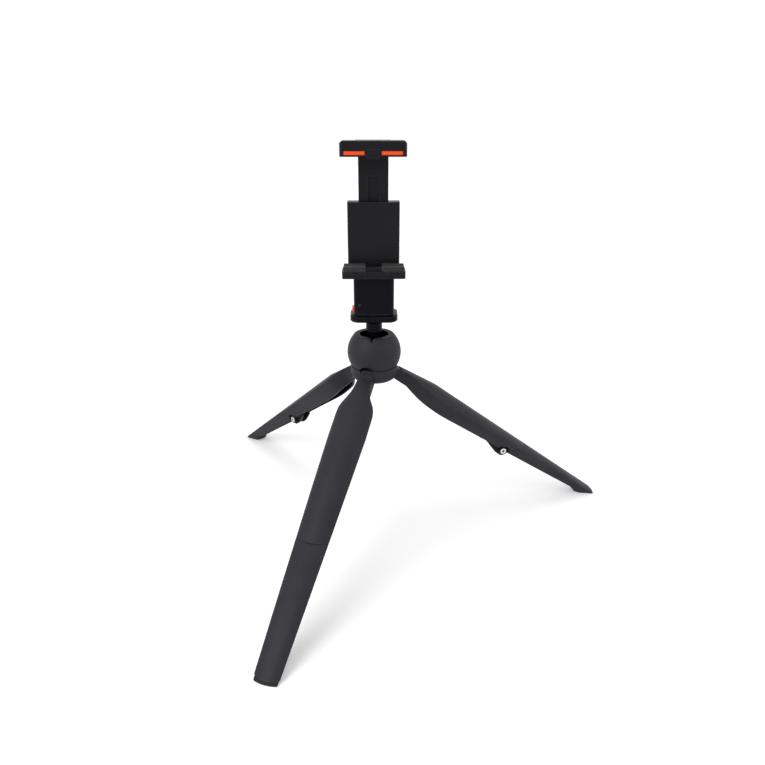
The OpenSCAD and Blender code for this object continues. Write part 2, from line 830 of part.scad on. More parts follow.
// Pad outline from front to back: a shallow valley that centres the edge of a phone
module pad_outline(base, dip) {
    front = -jaw_front + slide_fit;
    back = -sleeve_half - slide_fit;
    mid = (front + back) / 2;
    polygon([[front, 0], [front, base - groove_r], [front + groove_r, base], [front + 2 * lip_d, base],
        [mid, base - dip], [back - lip_d, base - dip], [back, base], [back, 0]]);
}

module pads(z, up) {
    w = jaw_w / 2 - gap_half - lip_t;
    for (side = [0, 1]) mirror([side, 0, 0]) translate([gap_half, 0, z]) mirror([0, 0, up ? 0 : 1])
        rotate([90, 0, 90]) linear_extrude(w) pad_outline(pad_t, lip_t);
}

module lower_pads() {
    color([0.26, 0.23, 0.23]) pads(low_jaw_top, true);
}

// Front shell of the guide behind the phone
module back_sleeve() {
    color(black) difference() {
        translate([0, 0, low_jaw_top])
            round_slab(sleeve_w, sleeve_half, sleeve_half - cover_t, lip_t, sleeve_top - low_jaw_top);
        bar_well(low_jaw_top - over, sleeve_top + over);
        translate([-bar_w / 2 - slide_fit, 0, low_jaw_top - over])
            cube([bar_w + 2 * slide_fit, sleeve_half, sleeve_top - low_jaw_top - bar_t]);
        lever_well(low_jaw_top - over, lever_top + loose);
        screw_holes(screw_r, far);
        translate([-sleeve_w, -sleeve_half - over, low_jaw_top - over])
            cube([2 * sleeve_w, over + slide_fit, pad_t + loose + over]);
    }
}

module screw_holes(r, h) {
    for (x = [-1, 1], z = [low_jaw_top + 2 * bar_t, sleeve_top - 1.2 * bar_t])
        translate([x * (sleeve_w / 2 - screw_cap_r - over / 2), 0, z])
            rotate([-90, 0, 0]) cylinder(r = r, h = h);
}

module sleeve_cover() {
    color(charcoal) difference() {
        translate([0, 0, low_jaw_top + slide_fit])
            round_slab(sleeve_w, -sleeve_half + cover_t, sleeve_half, lip_t, sleeve_top - low_jaw_top - slide_fit);
        screw_holes(screw_r + run, far);
        translate([0, sleeve_half - lip_t, 0]) screw_holes(screw_cap_r + run, far);
    }
}

module cover_screws() {
    color(steel) difference() {
        union() {
            translate([0, run, 0]) screw_holes(screw_r - run, sleeve_half - lip_t);
            translate([0, sleeve_half - lip_t + run, 0]) screw_holes(screw_cap_r - run, lip_t * 0.8);
        }
        translate([0, sleeve_half - lip_t / 2, 0]) screw_holes(screw_r * 0.8, over);
    }
}

// Flat bar with a rack along its left edge, fixed in the upper jaw
module slide_bar() {
    high = grip_z + top_jaw_h - lip_d * 2;
    teeth = floor((opening_max - opening_min + 4 * rack_pitch) / rack_pitch);
    color(black) difference() {
        translate([-bar_w / 2, -bar_t / 2, bar_low]) cube([bar_w, bar_t, high - bar_low]);
        for (k = [0 : teeth - 1]) translate([-bar_w / 2, 0, bar_low + rack_pitch * (k + 1)]) rotate([90, 45, 0])
            cube([rack_pitch * 0.5, rack_pitch * 0.5, 2 * bar_t], center = true);
        translate([-bar_w / 5, -bar_t, bar_low + bar_w]) cube([bar_w * 0.4, bar_t, high - bar_low - 2 * bar_w]);
    }
}

// Upper jaw: end cheeks and a front lip frame the pads, and a short rib drops in front of the phone
module upper_jaw() {
    color(black) difference() {
        union() {
            intersection() {
                difference() {
                    jaw_slab(grip_z, top_jaw_h, -sleeve_half + jaw_round);
                    translate([cheek_w - jaw_w / 2, -jaw_front + lip_d, grip_z - over])
                        cube([jaw_w - 2 * cheek_w, far, pad_t + over]);
                    translate([cheek_w - jaw_w / 2, -jaw_front - over, grip_z + lip_t])
                        cube([jaw_w - 2 * cheek_w, far, pad_t - lip_t]);
                }
                top_corners();
            }
            translate([-bar_w / 2 - leg_wall, -sleeve_half, grip_z + pad_t])
                cube([bar_w + 2 * leg_wall, sleeve_half + bar_t / 2 + leg_wall, top_jaw_h - pad_t]);
            front_rib();
        }
        translate([-bar_w / 2 - run / 5, -bar_t / 2 - run / 5, grip_z - over])
            cube([bar_w + run / 2.5, bar_t + run / 2.5, top_jaw_h - 2 * lip_d + over + run / 5]);
    }
}

// Rounded upper corners, seen from the front
module top_corners() {
    translate([0, far, 0]) rotate([90, 0, 0]) linear_extrude(2 * far) {
        hull() for (x = [jaw_round - jaw_w / 2, jaw_w / 2 - jaw_round])
            translate([x, top_jaw_top - jaw_round]) circle(jaw_round);
        translate([-jaw_w / 2, grip_z - over]) square([jaw_w, top_jaw_h + over - jaw_round]);
    }
}

module front_rib() {
    front = jaw_front + over / 5;
    translate([0, -front + rib_d, 0]) rotate([90, 0, 0]) linear_extrude(rib_d)
        polygon([[-rib_low_half, grip_z - rib_drop], [rib_low_half, grip_z - rib_drop],
            [rib_top_half, grip_z + lip_t], [rib_top_half, grip_z + pad_t + over],
            [-rib_top_half, grip_z + pad_t + over], [-rib_top_half, grip_z + lip_t]]);
}

module upper_pads() {
    color(orange) difference() {
        intersection() {
            pads(grip_z + pad_t, false);
            translate([cheek_w - jaw_w / 2 + slide_fit, -far, grip_z - over])
                cube([jaw_w - 2 * cheek_w - 2 * slide_fit, far, top_jaw_h]);
        }
        translate([-jaw_w / 2, -jaw_front - over, grip_z - 2 * over])
            cube([jaw_w, lip_d + over + slide_fit, lip_t + 2 * over + slide_fit]);
    }
}

hub_housing();
leg_carrier();
hinge_pins();
tension_screw();
disc_springs();
ball_cup();
ball_stem();
head_plate();
plate_pad();
mount_stud();
clamp_foot();
foot_insert();
lower_jaw();
lower_pads();
back_sleeve();
sleeve_cover();
cover_screws();
lever_pin();
lever_spring();
lock_dot();
release_lever();
slide_bar();
upper_jaw();
upper_pads();
upper_leg(0);  // upper_leg_front
knee_bracket(0);  // knee_bracket_front
knee_pin(0);  // knee_pin_front
lower_leg(0);  // lower_leg_front
foot_pad(0);  // foot_pad_front
upper_leg(1);  // upper_leg_right
knee_bracket(1);  // knee_bracket_right
knee_pin(1);  // knee_pin_right
lower_leg(1);  // lower_leg_right
foot_pad(1);  // foot_pad_right
upper_leg(2);  // upper_leg_left
knee_bracket(2);  // knee_bracket_left
knee_pin(2);  // knee_pin_left
lower_leg(2);  // lower_leg_left
foot_pad(2);  // foot_pad_left
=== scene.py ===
import bpy
import bmesh
import json
import math
from mathutils import Matrix, Vector


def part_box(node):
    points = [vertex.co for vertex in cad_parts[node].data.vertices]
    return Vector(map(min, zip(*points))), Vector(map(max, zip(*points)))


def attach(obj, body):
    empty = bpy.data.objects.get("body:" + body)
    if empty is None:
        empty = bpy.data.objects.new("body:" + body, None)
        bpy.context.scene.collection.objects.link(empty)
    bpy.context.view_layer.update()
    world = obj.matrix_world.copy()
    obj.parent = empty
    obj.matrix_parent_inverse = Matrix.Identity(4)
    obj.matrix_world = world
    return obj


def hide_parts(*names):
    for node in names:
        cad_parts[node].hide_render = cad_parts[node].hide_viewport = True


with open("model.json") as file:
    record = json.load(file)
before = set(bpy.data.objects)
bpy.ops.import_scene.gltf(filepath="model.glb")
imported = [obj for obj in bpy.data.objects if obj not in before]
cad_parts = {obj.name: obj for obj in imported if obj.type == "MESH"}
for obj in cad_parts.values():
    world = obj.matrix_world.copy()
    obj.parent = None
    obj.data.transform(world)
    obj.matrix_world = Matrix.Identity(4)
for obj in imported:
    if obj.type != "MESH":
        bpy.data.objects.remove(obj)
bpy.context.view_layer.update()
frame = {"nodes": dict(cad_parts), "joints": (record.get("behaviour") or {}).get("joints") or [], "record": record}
nodes = frame["nodes"]
print("stage 1: frame loaded,", len(nodes), "solids")

mm = 0.001
legNames = ("front", "right", "left")

# Camera: stands where the photograph was taken from
shot = {
    "place": (0.00021, -0.50271, 0.32319),
    "towards": (0.01173, 0.92807, -0.37221),
    "focalPixels": 674.51,  # focal length in pixels of the 765 x 765 frame
    "frameWidth": 765,
    "sensor": 36.0,
    "nearClip": 0.01, "farClip": 20,
}


def addCamera():
    data = bpy.data.cameras.new("shotCamera")
    data.sensor_width = shot["sensor"]
    data.lens = shot["focalPixels"] * shot["sensor"] / shot["frameWidth"]
    data.clip_start = shot["nearClip"]
    data.clip_end = shot["farClip"]
    camera = bpy.data.objects.new("shotCamera", data)
    turn = Vector(shot["towards"]).to_track_quat("-Z", "Y")
    camera.matrix_world = Matrix.Translation(shot["place"]) @ turn.to_matrix().to_4x4()
    bpy.context.scene.collection.objects.link(camera)
    bpy.context.scene.camera = camera


lamps = {
    "keySoftbox": {"place": (-0.9, -0.85, 0.95), "size": 0.9, "power": 12.5},
    "rightSoftbox": {"place": (1.1, -0.45, 0.7), "size": 0.8, "power": 4.0},
    "topSoftbox": {"place": (-0.1, 0.35, 1.35), "size": 0.9, "power": 5.0},
}
lampAim = (0, 0, 0.15)


def addLamps():
    for name, lamp in lamps.items():
        data = bpy.data.lights.new(name, "AREA")
        data.size = lamp["size"]
        data.energy = lamp["power"]
        place = Vector(lamp["place"])
        aim = Vector(lampAim) - place
        light = bpy.data.objects.new(name, data)
        turn = aim.to_track_quat("-Z", "Y")
        light.matrix_world = Matrix.Translation(place) @ turn.to_matrix().to_4x4()
        bpy.context.scene.collection.objects.link(light)


# What the eye, a gloss or a glass sees of the studio is white; the light on the object stays plain
def addSeen(tree):
    path = tree.nodes.new("ShaderNodeLightPath")
    seen = path.outputs["Is Camera Ray"]
    for name in ("Is Glossy Ray", "Is Transmission Ray"):
        more = tree.nodes.new("ShaderNodeMath")
        more.operation = "MAXIMUM"
        tree.links.new(seen, more.inputs[0])
        tree.links.new(path.outputs[name], more.inputs[1])
        seen = more.outputs[0]
    return seen


sky = {"colour": (1, 1, 1), "fill": 0.5, "seen": 1.0}


def addSky():
    world = bpy.data.worlds.new("studioSky")
    bpy.context.scene.world = world
    world.use_nodes = True
    tree = world.node_tree
    tree.nodes.clear()
    strength = tree.nodes.new("ShaderNodeMix")
    strength.inputs["A"].default_value = sky["fill"]
    strength.inputs["B"].default_value = sky["seen"]
    dome = tree.nodes.new("ShaderNodeBackground")
    dome.inputs["Color"].default_value = (*sky["colour"], 1)
    out = tree.nodes.new("ShaderNodeOutputWorld")
    tree.links.new(addSeen(tree), strength.inputs["Factor"])
    tree.links.new(strength.outputs["Result"], dome.inputs["Strength"])
    tree.links.new(dome.outputs[0], out.inputs["Surface"])


floorLook = {
    "half": 4.0,
    "colour": (0.86, 0.86, 0.87),
    "nearLift": 0.25, "near": 0.35,  # lift towards white, and how far from the hub it begins to grow
    "farLift": 0.72, "far": 2.2,
}


def addFloor():
    mesh = bpy.data.meshes.new("studioFloor")
    sheet = bmesh.new()
    bmesh.ops.create_grid(sheet, x_segments=1, y_segments=1, size=floorLook["half"])
    sheet.to_mesh(mesh)
    sheet.free()
    floor = bpy.data.objects.new("studioFloor", mesh)
    bpy.context.scene.collection.objects.link(floor)
    material = bpy.data.materials.new("floorPaper")
    material.use_nodes = True
    tree = material.node_tree
    paper = tree.nodes["Principled BSDF"]
    paper.inputs["Base Color"].default_value = (*floorLook["colour"], 1)
    paper.inputs["Roughness"].default_value = 1.0
    paper.inputs["Specular IOR Level"].default_value = 0.0
    paper.inputs["Emission Color"].default_value = (1, 1, 1, 1)
    where = tree.nodes.new("ShaderNodeTexCoord")
    away = tree.nodes.new("ShaderNodeVectorMath")
    away.operation = "LENGTH"
    lift = tree.nodes.new("ShaderNodeMapRange")
    lift.inputs["From Min"].default_value = floorLook["near"]
    lift.inputs["From Max"].default_value = floorLook["far"]
    lift.inputs["To Min"].default_value = floorLook["nearLift"]
    lift.inputs["To Max"].default_value = floorLook["farLift"]
    shown = tree.nodes.new("ShaderNodeMath")
    shown.operation = "MULTIPLY"
    tree.links.new(where.outputs["Object"], away.inputs[0])
    tree.links.new(away.outputs["Value"], lift.inputs["Value"])
    tree.links.new(lift.outputs["Result"], shown.inputs[0])
    tree.links.new(addSeen(tree), shown.inputs[1])
    tree.links.new(shown.outputs[0], paper.inputs["Emission Strength"])
    floor.data.materials.append(material)


def addSockets(group, puts, takes):
    for name, kind, value in takes:
        socket = group.interface.new_socket(name, in_out="INPUT", socket_type=kind)
        socket.default_value = value
    for name, kind in puts:
        group.interface.new_socket(name, in_out="OUTPUT", socket_type=kind)


# a * b + c as one node, each of them a socket or a number
def scaled(group, a, b, c=0.0):
    node = group.nodes.new("ShaderNodeMath")
    node.operation = "MULTIPLY_ADD"
    for place, value in zip(node.inputs, (a, b, c)):
        if isinstance(value, (int, float)):
            place.default_value = value
        else:
            group.links.new(value, place)
    return node.outputs[0]


# Mixes two colours; the node's sockets go by place, because their names repeat
def addBlend(group, share, first, second):
    blend = group.nodes.new("ShaderNodeMix")
    blend.data_type = "RGBA"
    for place, value in zip((0, 6, 7), (share, first, second)):
        group.links.new(value, blend.inputs[place])
    return blend.outputs[2]


# Places a shared group in a material with its own values
def placeGroup(tree, group, values):
    node = tree.nodes.new("ShaderNodeGroup")
    node.node_tree = group
    for name, value in values.items():
        node.inputs[name].default_value = (*value, 1) if isinstance(value, tuple) else value
    return node


def addBump(tree, height, strength, distance, shader):
    bump = tree.nodes.new("ShaderNodeBump")
    bump.inputs["Strength"].default_value = strength
    bump.inputs["Distance"].default_value = distance * mm
    tree.links.new(height, bump.inputs["Height"])
    tree.links.new(bump.outputs["Normal"], shader.inputs["Normal"])


noiseDetail = {"pits": 3, "waves": 2, "spots": 4, "streaks": 2}


# Noise on Object coordinates, spread out to run from 0 below the lower limit to 1 above the upper one
def addSpots(group, density, limits):
    where = group.nodes.new("ShaderNodeTexCoord")
    noise = group.nodes.new("ShaderNodeTexNoise")
    noise.inputs["Detail"].default_value = noiseDetail["spots"]
    group.links.new(where.outputs["Object"], noise.inputs["Vector"])
    if isinstance(density, (int, float)):
        noise.inputs["Scale"].default_value = density
    else:
        group.links.new(density, noise.inputs["Scale"])
    spots = group.nodes.new("ShaderNodeMapRange")
    spots.inputs["From Min"].default_value, spots.inputs["From Max"].default_value = limits
    group.links.new(noise.outputs["Fac"], spots.inputs["Value"])
    return spots.outputs["Result"]


# Spark-eroded mould texture: fine pits over slow waves, and a roughness that follows the waves
def mouldGrainGroup():
    group = bpy.data.node_groups.new("mouldGrain", "ShaderNodeTree")
    addSockets(group, [("Height", "NodeSocketFloat"), ("Roughness", "NodeSocketFloat")], [
        ("Pits per metre", "NodeSocketFloat", 2200.0),
        ("Waves per metre", "NodeSocketFloat", 70.0),
        ("Wave share", "NodeSocketFloat", 0.3),
        ("Roughness", "NodeSocketFloat", 0.5),
        ("Roughness spread", "NodeSocketFloat", 0.08),
    ])
    new, link = group.nodes.new, group.links.new
    took, gives = new("NodeGroupInput"), new("NodeGroupOutput")
    where = new("ShaderNodeTexCoord")
    pits = new("ShaderNodeTexNoise")
    pits.inputs["Detail"].default_value = noiseDetail["pits"]
    waves = new("ShaderNodeTexNoise")
    waves.inputs["Detail"].default_value = noiseDetail["waves"]
    for noise, density in ((pits, "Pits per metre"), (waves, "Waves per metre")):
        link(where.outputs["Object"], noise.inputs["Vector"])
        link(took.outputs[density], noise.inputs["Scale"])
    height = new("ShaderNodeMix")
    link(took.outputs["Wave share"], height.inputs["Factor"])
    link(pits.outputs["Fac"], height.inputs["A"])
    link(waves.outputs["Fac"], height.inputs["B"])
    link(height.outputs["Result"], gives.inputs["Height"])
    centred = scaled(group, waves.outputs["Fac"], 1.0, -0.5)
    rough = scaled(group, centred, took.outputs["Roughness spread"], took.outputs["Roughness"])
    link(rough, gives.inputs["Roughness"])
    return group


handlingLimits = {  # noise at which a spot begins and is full
    "Patches per metre": (0.42, 0.72), "Specks per metre": (0.6, 0.8),
}


# Faint lighter patches where hands and dust leave a moulded part greyer, with fine specks
def handlingGroup():
    group = bpy.data.node_groups.new("handling", "ShaderNodeTree")
    addSockets(group, [("Color", "NodeSocketColor")], [
        ("Color", "NodeSocketColor", (0.1, 0.1, 0.1, 1)),
        ("Greyed", "NodeSocketColor", (0.2, 0.2, 0.2, 1)),
        ("Patches per metre", "NodeSocketFloat", 35.0),
        ("Specks per metre", "NodeSocketFloat", 1600.0),
        ("Amount", "NodeSocketFloat", 0.3),
    ])
    new, link = group.nodes.new, group.links.new
    took, gives = new("NodeGroupInput"), new("NodeGroupOutput")
    both = new("ShaderNodeMath")
    both.operation = "MAXIMUM"
    for place, (density, limits) in zip(both.inputs, handlingLimits.items()):
        link(addSpots(group, took.outputs[density], limits), place)
    share = scaled(group, both.outputs[0], took.outputs["Amount"])
    link(addBlend(group, share, took.outputs["Color"], took.outputs["Greyed"]), gives.inputs["Color"])
    return group


# The paler edges paint partly real rubbed wear and partly the highlight that rounded edges catch
wornLitCornerLook = {
    "samples": 4,
    "flat": 0.998, "corner": 0.93,  # how well the rounded and the plain normal agree
    "breaksPerMetre": 260, "breaks": (0.35, 0.65),
}


# Corners that are painted a little paler and smoother, in broken lengths: partly real rubbed wear, partly a
# painted highlight along the edges
def wornLitCornersGroup():
    group = bpy.data.node_groups.new("wornLitCorners", "ShaderNodeTree")
    addSockets(group, [("Color", "NodeSocketColor"), ("Roughness", "NodeSocketFloat")], [
        ("Color", "NodeSocketColor", (0.1, 0.1, 0.1, 1)),
        ("Worn and lit", "NodeSocketColor", (0.2, 0.2, 0.2, 1)),
        ("Roughness", "NodeSocketFloat", 0.5),
        ("Polish", "NodeSocketFloat", -0.12),
        ("Width", "NodeSocketFloat", 0.0006),
        ("Amount", "NodeSocketFloat", 0.5),
    ])
    new, link = group.nodes.new, group.links.new
    took, gives = new("NodeGroupInput"), new("NodeGroupOutput")
    rounded = new("ShaderNodeBevel")
    rounded.samples = wornLitCornerLook["samples"]
    link(took.outputs["Width"], rounded.inputs["Radius"])
    plain = new("ShaderNodeNewGeometry")
    agree = new("ShaderNodeVectorMath")
    agree.operation = "DOT_PRODUCT"
    link(rounded.outputs["Normal"], agree.inputs[0])
    link(plain.outputs["Normal"], agree.inputs[1])
    corner = new("ShaderNodeMapRange")
    corner.inputs["From Min"].default_value = wornLitCornerLook["flat"]
    corner.inputs["From Max"].default_value = wornLitCornerLook["corner"]
    link(agree.outputs["Value"], corner.inputs["Value"])
    broken = addSpots(group, wornLitCornerLook["breaksPerMetre"], wornLitCornerLook["breaks"])
    share = scaled(group, corner.outputs["Result"], broken)
    mask = scaled(group, share, took.outputs["Amount"])
    link(addBlend(group, mask, took.outputs["Color"], took.outputs["Worn and lit"]), gives.inputs["Color"])
    rough = scaled(group, mask, took.outputs["Polish"], took.outputs["Roughness"])
    link(rough, gives.inputs["Roughness"])
    return group


streakSqueeze = (0.05, 0.05, 1.0)  # long across the part's height, fine along it


# Fine streaks that a lathe or a brush leaves
def turnedMetalGroup():
    group = bpy.data.node_groups.new("turnedMetal", "ShaderNodeTree")
    addSockets(group, [("Height", "NodeSocketFloat"), ("Roughness", "NodeSocketFloat")], [
        ("Streaks per metre", "NodeSocketFloat", 4000.0),
        ("Roughness", "NodeSocketFloat", 0.3),
        ("Roughness spread", "NodeSocketFloat", 0.15),
    ])
    new, link = group.nodes.new, group.links.new
    took, gives = new("NodeGroupInput"), new("NodeGroupOutput")
    where = new("ShaderNodeTexCoord")
    squeeze = new("ShaderNodeMapping")
    squeeze.inputs["Scale"].default_value = streakSqueeze
    streaks = new("ShaderNodeTexNoise")
    streaks.inputs["Detail"].default_value = noiseDetail["streaks"]
    link(where.outputs["Object"], squeeze.inputs["Vector"])
    link(squeeze.outputs[0], streaks.inputs["Vector"])
    link(took.outputs["Streaks per metre"], streaks.inputs["Scale"])
    link(streaks.outputs["Fac"], gives.inputs["Height"])
    centred = scaled(group, streaks.outputs["Fac"], 1.0, -0.5)
    rough = scaled(group, centred, took.outputs["Roughness spread"], took.outputs["Roughness"])
    link(rough, gives.inputs["Roughness"])
    return group


groups = {
    "grain": mouldGrainGroup(), "handling": handlingGroup(),
    "wornLit": wornLitCornersGroup(), "turned": turnedMetalGroup(),
}
print("stage 2: shader groups built")

# In each plastic the paler edge colour and its amount are partly real rubbed wear and partly a painted highlight
# along the edges
plastics = {
    "charcoal": {"colour": (0.0138, 0.0131, 0.0182), "greyed": (0.0265, 0.0252, 0.0328), "amount": 0.4,
                 "wornLit": (0.085, 0.083, 0.095), "wearAndShine": 0.4, "pits": 2400, "waves": 60,
                 "roughness": 0.56, "spread": 0.12, "bump": 0.18, "sheen": 0.0, "specular": 0.21},
    "black_plastic": {"colour": (0.0042, 0.0040, 0.0062), "greyed": (0.0105, 0.010, 0.014), "amount": 0.3,
                      "wornLit": (0.07, 0.068, 0.081), "wearAndShine": 0.6, "pits": 2600, "waves": 90,
                      "roughness": 0.4, "spread": 0.12, "bump": 0.1, "sheen": 0.0, "specular": 0.14},
    # Darker than the plain black: partly the real satin finish, partly painted shade for the shadow cast by the
    # parts above
    "satinBlackPaintedShade": {"colour": (0.0022, 0.0020, 0.0042), "greyed": (0.006, 0.0056, 0.0095), "amount": 0.25,
                   "wornLit": (0.07, 0.068, 0.084), "wearAndShine": 0.7, "pits": 2800, "waves": 90,
                   "roughness": 0.3, "spread": 0.1, "bump": 0.05, "sheen": 0.0, "specular": 0.07},
    "black_rubber": {"colour": (0.010, 0.010, 0.011), "greyed": (0.028, 0.027, 0.028), "amount": 0.45,
                     "wornLit": (0.05, 0.05, 0.05), "wearAndShine": 0.3, "pits": 1500, "waves": 120,
                     "roughness": 0.8, "spread": 0.12, "bump": 0.25, "sheen": 0.1, "specular": 0.25},
    "warm_rubber": {"colour": (0.0205, 0.018, 0.0185), "greyed": (0.038, 0.0335, 0.034), "amount": 0.35,
                    "wornLit": (0.08, 0.07, 0.07), "wearAndShine": 0.3, "pits": 1500, "waves": 120,
                    "roughness": 0.75, "spread": 0.1, "bump": 0.2, "sheen": 0.1, "specular": 0.22},
    "orange_rubber": {"colour": (0.86, 0.07, 0.006), "greyed": (0.80, 0.09, 0.018), "amount": 0.3,
                      "wornLit": (0.88, 0.17, 0.05), "wearAndShine": 0.4, "pits": 1500, "waves": 110,
                      "roughness": 0.6, "spread": 0.1, "bump": 0.16, "sheen": 0.05, "specular": 0.25},
    "orange_plastic": {"colour": (0.86, 0.07, 0.006), "greyed": (0.80, 0.09, 0.018), "amount": 0.2,
                       "wornLit": (0.88, 0.17, 0.05), "wearAndShine": 0.4, "pits": 2400, "waves": 80,
                       "roughness": 0.4, "spread": 0.08, "bump": 0.08, "sheen": 0.0, "specular": 0.35},
    "fadedMark": {"colour": (0.026, 0.006, 0.006), "greyed": (0.04, 0.012, 0.011), "amount": 0.4,
                  "wornLit": (0.12, 0.04, 0.03), "wearAndShine": 0.2, "pits": 2400, "waves": 200,
                  "roughness": 0.6, "spread": 0.08, "bump": 0.08, "sheen": 0.0, "specular": 0.2},
}

metals = {
    "steel": {
        "colour": (0.62, 0.62, 0.64), "metallic": 1.0,
        "roughness": 0.26, "spread": 0.14, "streaks": 3500, "bump": 0.05,
    },
    "brass": {
        "colour": (0.62, 0.45, 0.19), "metallic": 1.0,
        "roughness": 0.34, "spread": 0.14, "streaks": 3000, "bump": 0.05,
    },
    "darkSteel": {
        "colour": (0.11, 0.11, 0.12), "metallic": 1.0,
        "roughness": 0.34, "spread": 0.12, "streaks": 3000, "bump": 0.05,
    },
    "black_metal": {
        "colour": (0.005, 0.0046, 0.0075), "metallic": 0.0,
        "roughness": 0.4, "spread": 0.10, "streaks": 2500, "bump": 0.04,
    },
}
metalSpecular = 0.14  # of the painted metal; the bare metals keep the shader's own value


bumpDepth = {"plastic": 0.1, "metal": 0.05}  # millimetres


def newFinish(name):
    material = bpy.data.materials.new(name)
    material.use_nodes = True
    return material, material.node_tree, material.node_tree.nodes["Principled BSDF"]


def plasticFinish(name, look):
    material, tree, shader = newFinish(name)
    shader.inputs["Sheen Weight"].default_value = look["sheen"]
    shader.inputs["Specular IOR Level"].default_value = look["specular"]
    tone = placeGroup(tree, groups["handling"], {
        "Color": look["colour"], "Greyed": look["greyed"], "Amount": look["amount"]})
    grain = placeGroup(tree, groups["grain"], {
        "Pits per metre": look["pits"], "Waves per metre": look["waves"],
        "Roughness": look["roughness"], "Roughness spread": look["spread"]})
    # paler edges: partly real rubbed wear, partly a painted highlight
    wearAndShine = placeGroup(tree, groups["wornLit"], {"Worn and lit": look["wornLit"], "Amount": look["wearAndShine"]})
    tree.links.new(tone.outputs["Color"], wearAndShine.inputs["Color"])
    tree.links.new(grain.outputs["Roughness"], wearAndShine.inputs["Roughness"])
    tree.links.new(wearAndShine.outputs["Color"], shader.inputs["Base Color"])
    tree.links.new(wearAndShine.outputs["Roughness"], shader.inputs["Roughness"])
    addBump(tree, grain.outputs["Height"], look["bump"], bumpDepth["plastic"], shader)
    return material


def metalFinish(name, look):
    material, tree, shader = newFinish(name)
    shader.inputs["Base Color"].default_value = (*look["colour"], 1)
    shader.inputs["Metallic"].default_value = look["metallic"]
    if look["metallic"] == 0.0:
        shader.inputs["Specular IOR Level"].default_value = metalSpecular
    turned = placeGroup(tree, groups["turned"], {
        "Streaks per metre": look["streaks"],
        "Roughness": look["roughness"], "Roughness spread": look["spread"]})
    tree.links.new(turned.outputs["Roughness"], shader.inputs["Roughness"])
    addBump(tree, turned.outputs["Height"], look["bump"], bumpDepth["metal"], shader)
    return material


finishes = {name: plasticFinish(name, look) for name, look in plastics.items()}
finishes.update({name: metalFinish(name, look) for name, look in metals.items()})
ownFinish = {  # solids that look other than their slot
    "lock_dot": "fadedMark",
    # the satin black on the foot block, plate and stem also paints shade
    "clamp_foot": "satinBlackPaintedShade", "head_plate": "satinBlackPaintedShade", "ball_stem": "satinBlackPaintedShade",
}
for part in frame["record"]["subparts"]:
    for place in nodes[part["node"]].material_slots:
        place.material = finishes[ownFinish.get(part["node"], part["material_slot"])]
print("stage 3: finishes on every solid")

edgeRadius = {  # in millimetres, for each solid whose corners are moulded round
    "hub_housing": 0.5, "leg_carrier": 0.4, "clamp_foot": 0.35, "lower_jaw": 0.6, "upper_jaw": 0.8,
    "back_sleeve": 0.4, "sleeve_cover": 0.4, "slide_bar": 0.2, "lower_pads": 0.35, "upper_pads": 0.3,
    "release_lever": 0.3, "plate_pad": 0.2,
}
legEdgeRadius = {
    "upper_leg": 0.45, "lower_leg": 0.45, "foot_pad": 0.4,
    "knee_bracket": 0.35, "knee_pin": 0.12,
}
for leg in legNames:
    edgeRadius.update({f"{part}_{leg}": radius for part, radius in legEdgeRadius.items()})

softEdge = {"weld": 0.004, "flat": 0.4, "segments": 2, "sharpFrom": 28}  # millimetres, then degrees


def softenEdges(solid, radius):
    weld = solid.modifiers.new("joinFaces", "WELD")
    weld.merge_threshold = softEdge["weld"] * mm
    whole = solid.modifiers.new("wholeFaces", "DECIMATE")  # flat faces become one face each
    whole.decimate_type = "DISSOLVE"
    whole.angle_limit = math.radians(softEdge["flat"])
    bevel = solid.modifiers.new("softEdge", "BEVEL")
    bevel.width = radius * mm
    bevel.segments = softEdge["segments"]
    bevel.limit_method = "ANGLE"
    bevel.angle_limit = math.radians(softEdge["sharpFrom"])
    bevel.use_clamp_overlap = True
    bevel.harden_normals = False
    bevel.miter_outer = "MITER_ARC"


for name, radius in edgeRadius.items():
    softenEdges(nodes[name], radius)
print("stage 4: edges softened")


pieceSharpFrom = 35  # degrees


# Turns a bmesh into a finished piece that moves with a body; its finish is the slot's unless one is named
def addPiece(name, sheet, body, slotName, finish=None):
    bmesh.ops.recalc_face_normals(sheet, faces=sheet.faces)
    for face in sheet.faces:
        face.smooth = True
    mesh = bpy.data.meshes.new(name)
    sheet.to_mesh(mesh)
    sheet.free()
    mesh.set_sharp_from_angle(angle=math.radians(pieceSharpFrom))
    mesh.materials.append(finishes[finish or slotName])
    piece = bpy.data.objects.new(name, mesh)
    bpy.context.scene.collection.objects.link(piece)
    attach(piece, body)
    return piece


# Extrudes a flat end along the axis, in millimetres, and scales it about its middle
def grow(sheet, end, axis, up=0.0, scale=1.0, first=False):
    middle = end.calc_center_median()
    made = bmesh.ops.extrude_face_region(sheet, geom=[end])["geom"]
    tip = next(part for part in made if isinstance(part, bmesh.types.BMFace))
    if not first and end.is_valid:  # the first end stays as the base
        bmesh.ops.delete(sheet, geom=[end], context="FACES_ONLY")
    bmesh.ops.scale(sheet, vec=(scale,) * 3, verts=tip.verts, space=Matrix.Translation(-middle))
    bmesh.ops.translate(sheet, vec=axis * up * mm, verts=tip.verts)
    return tip


def startDisc(sheet, middle, axis, radius, sides):
    turn = Vector((0, 0, 1)).rotation_difference(axis).to_matrix().to_4x4()
    ring = bmesh.ops.create_circle(sheet, cap_ends=True, segments=sides, radius=radius * mm,
                                   matrix=Matrix.Translation(middle) @ turn)
    return ring["verts"][0].link_faces[0]


def bevelAll(sheet, edges, width):
    bmesh.ops.bevel(sheet, geom=edges, offset=width * mm, offset_type="OFFSET", affect="EDGES",
                    segments=softEdge["segments"], profile=0.5, material=-1, clamp_overlap=True)


coverScrew = {  # millimetres; crowned, lobeDepth and socketTaper are shares of a radius
    "sides": 36, "shank": 1.05, "length": 4.5, "head": 1.8, "height": 0.55, "crown": 0.2, "crowned": 0.86,
    "socket": 0.95, "lobes": 6, "lobeDepth": 0.16, "socketDepth": 0.5, "socketTaper": 0.92,
}


